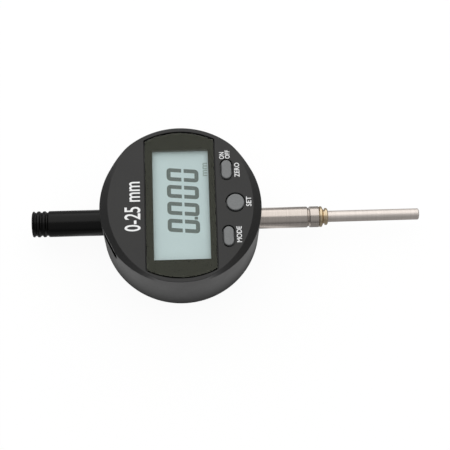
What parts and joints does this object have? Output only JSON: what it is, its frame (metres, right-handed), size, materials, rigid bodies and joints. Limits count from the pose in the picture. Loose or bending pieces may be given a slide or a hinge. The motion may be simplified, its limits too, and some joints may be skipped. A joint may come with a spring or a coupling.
{
  "type": "digital dial indicator",
  "caption": "Round electronic dial indicator on its back: display window and push buttons in front, ringed dust cap, clamping stem and sliding measuring spindle on one line.",
  "frame": {"origin": "middle of the flat back, which the part lies on", "axes": "+X along the spindle towards its measuring end, +Z out of the display, +Y towards the user's right when the stem hangs down"},
  "size_m": [0.1475, 0.06, 0.0305],
  "materials": {
    "case_black": "satin black moulded case",
    "cover_black": "satin black",
    "port_black": "satin black",
    "cap_black": "semi-gloss black",
    "key_grey": "matt mid grey",
    "window_clear": "clear acrylic",
    "display_glass": "grey-green liquid crystal glass",
    "moulding_white": "white moulding",
    "silicone_pale": "silicone rubber",
    "rubber_black": "nitrile rubber",
    "board_green": "glass-epoxy circuit board",
    "chip_black": "moulded epoxy",
    "stem_steel": "turned and ground",
    "ground_steel": "ground and polished",
    "screw_steel": "plain steel",
    "spring_steel": "drawn spring wire",
    "cell_nickel": "nickel-plated can",
    "frame_alloy": "machined",
    "bush_brass": "turned brass",
    "contact_brass": "plated spring brass"
  },
  "bodies": {
    "case": {"front_case": "case_black", "window_lens": "window_clear", "back_cover": "cover_black", "back_screw_1": "screw_steel", "back_screw_2": "screw_steel", "back_screw_3": "screw_steel", "back_screw_4": "screw_steel", "key_mat": "silicone_pale", "lcd_panel": "display_glass", "lcd_holder": "moulding_white", "zebra_strip_left": "silicone_pale", "zebra_strip_right": "silicone_pale", "main_board": "board_green", "controller_chip": "chip_black", "scale_board": "board_green", "port_socket": "chip_black", "board_screw_1": "screw_steel", "board_screw_2": "screw_steel", "board_screw_3": "screw_steel", "battery_door_seal": "rubber_black", "battery_cell": "cell_nickel", "battery_holder": "moulding_white", "battery_contact_plus": "contact_brass", "battery_contact_minus": "contact_brass", "inner_frame": "frame_alloy", "guide_rod": "ground_steel", "stem": "stem_steel", "stem_nut": "screw_steel", "lower_bush": "bush_brass", "upper_bush": "bush_brass", "bumper_ring": "rubber_black", "return_spring": "spring_steel"},
    "measuring_spindle": {"spindle": "ground_steel", "carrier": "frame_alloy", "carrier_screw": "screw_steel", "pickup_plate": "board_green"},
    "on_zero_key": {"button_on_zero": "key_grey"},
    "set_key": {"button_set": "key_grey"},
    "mode_key": {"button_mode": "key_grey"},
    "cap": {"dust_cap": "cap_black"},
    "door": {"battery_door": "cover_black"},
    "port_lid": {"port_cover": "port_black"}
  },
  "joints": [
    {"name": "spindle_travel", "type": "slide", "parent": "case", "child": "measuring_spindle", "axis": [-1, 0, 0], "range_m": [0, 0.0254], "stiffness_N_per_m": 20, "springref_m": -0.05, "deforming": ["return_spring"]},
    {"name": "on_zero_press", "type": "slide", "parent": "case", "child": "on_zero_key", "axis": [0, 0, -1], "range_m": [0, 0.0006], "stiffness_N_per_m": 800, "springref_m": -0.0003},
    {"name": "set_press", "type": "slide", "parent": "case", "child": "set_key", "axis": [0, 0, -1], "range_m": [0, 0.0006], "stiffness_N_per_m": 800, "springref_m": -0.0003},
    {"name": "mode_press", "type": "slide", "parent": "case", "child": "mode_key", "axis": [0, 0, -1], "range_m": [0, 0.0006], "stiffness_N_per_m": 800, "springref_m": -0.0003},
    {"name": "cap_removal", "type": "slide", "parent": "case", "child": "cap", "axis": [-1, 0, 0], "range_m": [0, 0.012]},
    {"name": "door_turn", "type": "hinge", "parent": "case", "child": "door", "pos_m": [0, 0.015, 0], "axis": [0, 0, 1], "range_deg": [0, 60]},
    {"name": "port_cover_pull", "type": "slide", "parent": "case", "child": "port_lid", "axis": [-0.9063, -0.4226, 0], "range_m": [0, 0.006]}
  ]
}
